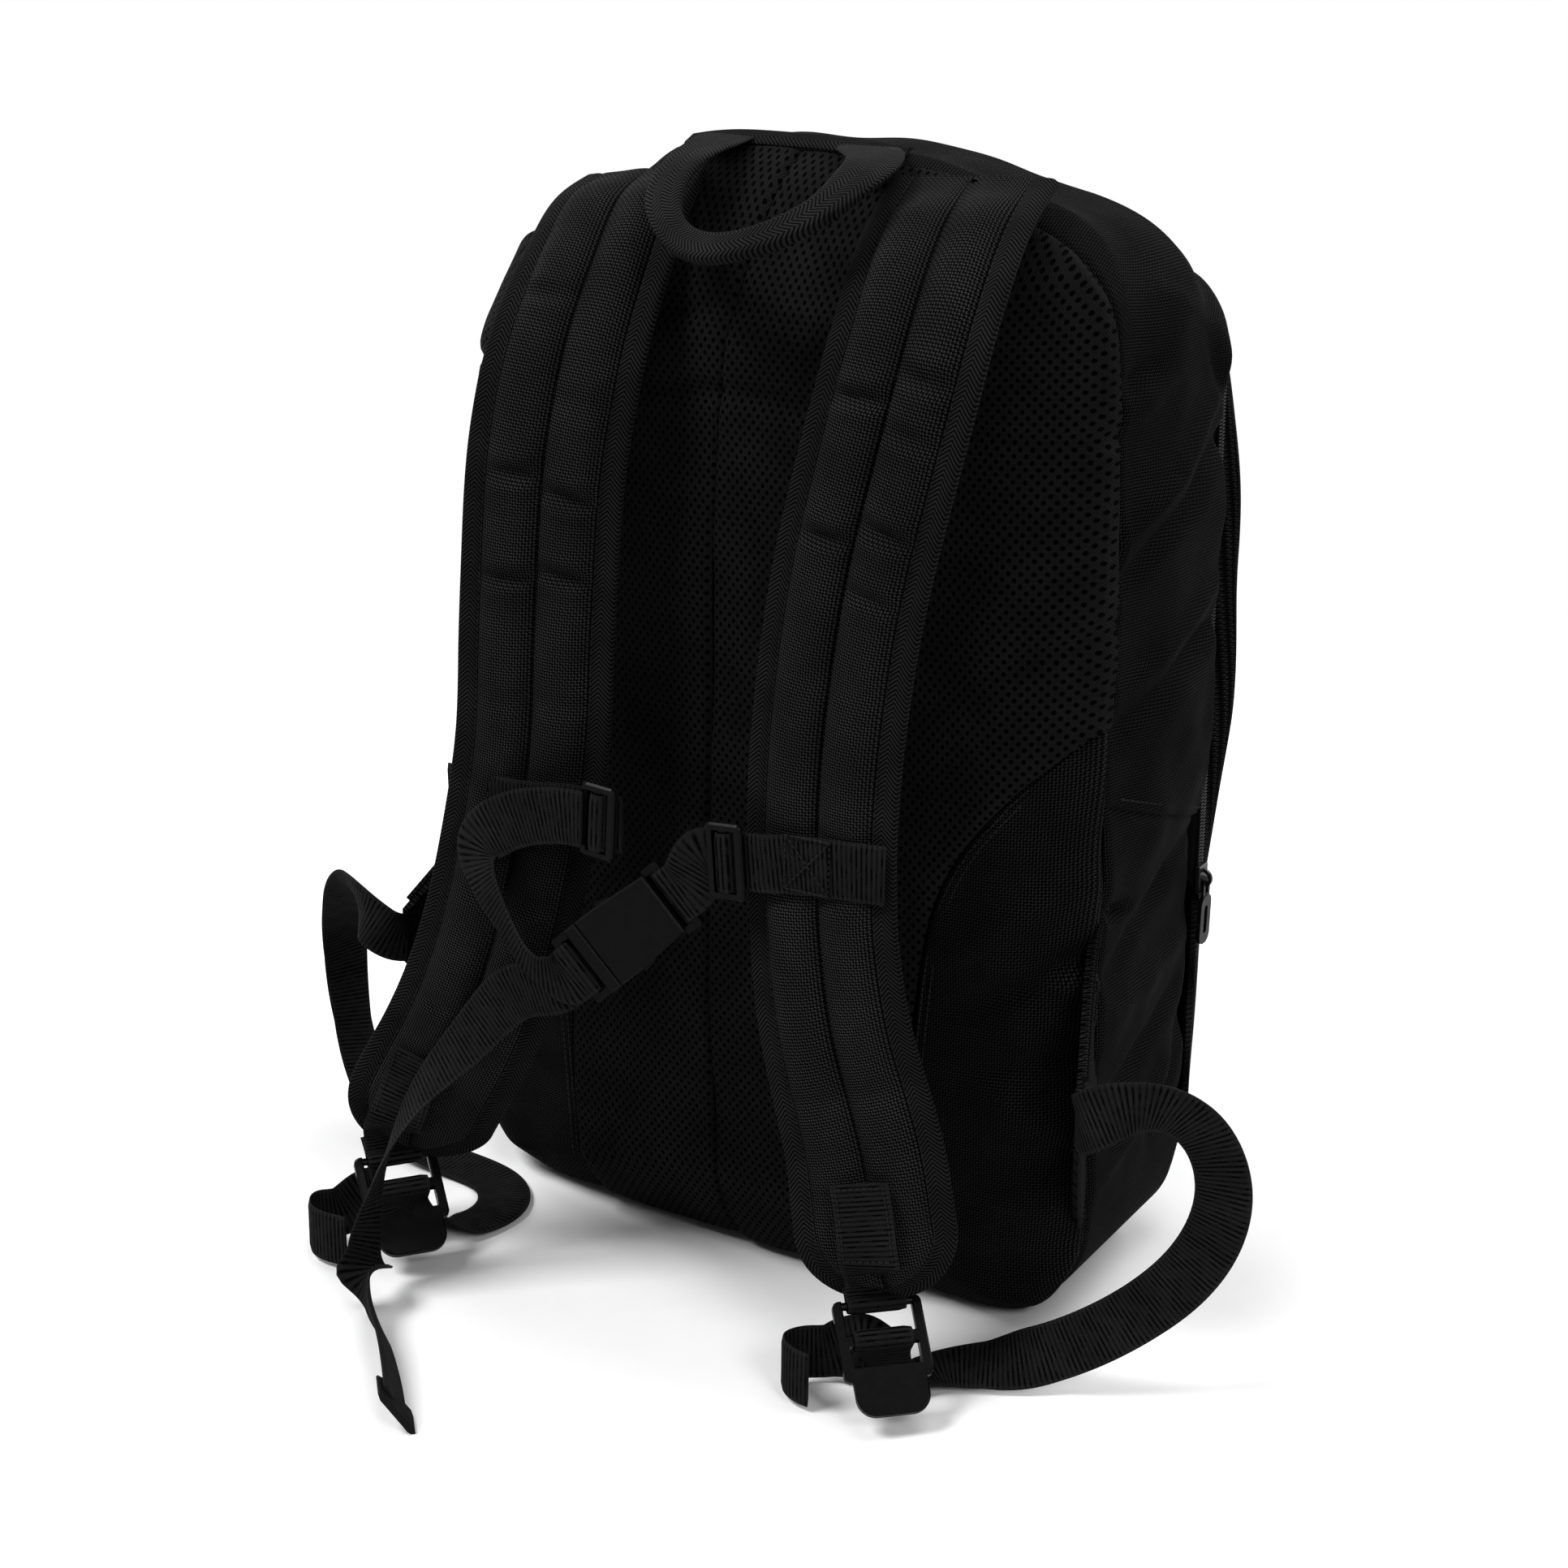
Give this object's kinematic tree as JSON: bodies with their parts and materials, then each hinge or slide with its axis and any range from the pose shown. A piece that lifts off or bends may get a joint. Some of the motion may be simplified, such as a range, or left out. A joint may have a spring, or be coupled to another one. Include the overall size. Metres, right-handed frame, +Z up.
{
  "type": "racket backpack",
  "caption": "Soft backpack with padded mesh back, two padded shoulder straps, sternum strap with side-release buckle, grab handle and a zipped front panel.",
  "frame": {"origin": "centre of the flat base, level with the surface it stands on", "axes": "+Z up, +X to the right when facing the harness, the harness faces -Y and the zipped front panel faces +Y"},
  "size_m": [0.4982, 0.3697, 0.5066],
  "materials": {
    "shell_fabric": "matt woven polyester, near black",
    "corner_fabric": "matt woven polyester, near black",
    "air_mesh": "spacer mesh with small oval holes, black",
    "strap_fabric": "matt woven polyester, near black",
    "lining_mesh": "fine mesh, black",
    "binding_tape": "ribbed grosgrain tape, black",
    "webbing": "woven polyester webbing, slight sheen, black",
    "acetal": "moulded acetal, semi-gloss black",
    "zip_teeth": "zip tape and coil, black",
    "slider_metal": "black lacquered die casting",
    "pull_plastic": "glossy moulded pull, black",
    "frame_plastic": "polyethylene sheet, black",
    "foam": "open foam, dark grey",
    "lining_fabric": "smooth lining cloth, dark grey"
  },
  "bodies": {
    "bag": {"back_panel": "shell_fabric", "mesh_pad_left": "air_mesh", "mesh_pad_right": "air_mesh", "corner_panel_left": "corner_fabric", "corner_panel_right": "corner_fabric", "base_panel": "shell_fabric", "top_yoke": "shell_fabric", "side_lower_left": "shell_fabric", "side_lower_right": "shell_fabric", "side_upper_left": "shell_fabric", "side_upper_right": "shell_fabric", "front_lower": "shell_fabric", "zip_chain_bag": "zip_teeth", "frame_sheet": "frame_plastic", "back_foam": "foam", "base_board": "frame_plastic", "sleeve_divider": "lining_fabric", "strap_pad_left": "strap_fabric", "strap_pad_right": "strap_fabric", "strap_lining_left": "lining_mesh", "strap_lining_right": "lining_mesh", "strap_binding_left_outer": "binding_tape", "strap_binding_left_inner": "binding_tape", "strap_binding_right_outer": "binding_tape", "strap_binding_right_inner": "binding_tape", "anchor_wing_left": "shell_fabric", "anchor_wing_right": "shell_fabric", "tab_left": "webbing", "tab_right": "webbing", "webbing_loop_left": "webbing", "webbing_loop_right": "webbing", "buckle_female": "acetal", "sternum_webbing_right": "webbing", "sternum_band_left": "webbing", "sternum_webbing_left": "webbing", "sternum_tail": "webbing", "tail_end_fold": "webbing", "handle_anchors": "webbing"},
    "flap": {"front_flap": "shell_fabric", "zip_chain_flap": "zip_teeth"},
    "slider": {"zip_slider": "slider_metal"},
    "pull": {"zip_pull": "pull_plastic"},
    "handle": {"grab_handle": "webbing"},
    "lock_left": {"ladder_lock_left": "acetal", "lock_webbing_left": "webbing", "webbing_tail_left": "webbing"},
    "lock_right": {"ladder_lock_right": "acetal", "lock_webbing_right": "webbing", "webbing_tail_right": "webbing"},
    "buckle_plug": {"buckle_male": "acetal", "buckle_arms": "acetal"},
    "glide_left": {"triglide_left": "acetal"},
    "glide_right": {"triglide_right": "acetal"}
  },
  "joints": [
    {"name": "flap_fold", "type": "hinge", "parent": "bag", "child": "flap", "pos_m": [0, 0.075, 0.166], "axis": [-1, 0, 0], "range_deg": [0, 80]},
    {"name": "zip_run", "type": "slide", "parent": "bag", "child": "slider", "axis": [-0.022, 0, 0.9998], "range_m": [0, 0.2]},
    {"name": "pull_swing", "type": "hinge", "parent": "slider", "child": "pull", "pos_m": [0.16187, 0.05, 0.17417], "axis": [0, -1, 0], "range_deg": [0, 150]},
    {"name": "handle_lift", "type": "hinge", "parent": "bag", "child": "handle", "pos_m": [0, -0.048, 0.502], "axis": [-1, 0, 0], "range_deg": [0, 80]},
    {"name": "lock_left_tilt", "type": "hinge", "parent": "bag", "child": "lock_left", "pos_m": [-0.14, -0.16, 0.04], "axis": [-0.6039, -0.7971, 0], "range_deg": [0, 12], "deforming": ["webbing_loop_left", "sternum_tail"]},
    {"name": "lock_right_tilt", "type": "hinge", "parent": "bag", "child": "lock_right", "pos_m": [0.11, -0.152, 0.04], "axis": [-0.7186, -0.6954, 0], "range_deg": [0, 35], "deforming": ["webbing_loop_right"]},
    {"name": "buckle_release", "type": "slide", "parent": "bag", "child": "buckle_plug", "axis": [-0.6936, -0.2669, -0.669], "range_m": [0, 0.032], "deforming": ["sternum_webbing_left", "sternum_tail", "buckle_arms"]},
    {"name": "glide_left_slide", "type": "slide", "parent": "bag", "child": "glide_left", "axis": [-0.9988, 0, 0.0499], "range_m": [0, 0.012], "deforming": ["sternum_band_left", "sternum_webbing_left"]},
    {"name": "glide_right_slide", "type": "slide", "parent": "bag", "child": "glide_right", "axis": [0.996, 0.0398, 0.0797], "range_m": [0, 0.012], "deforming": ["sternum_webbing_right"]}
  ]
}
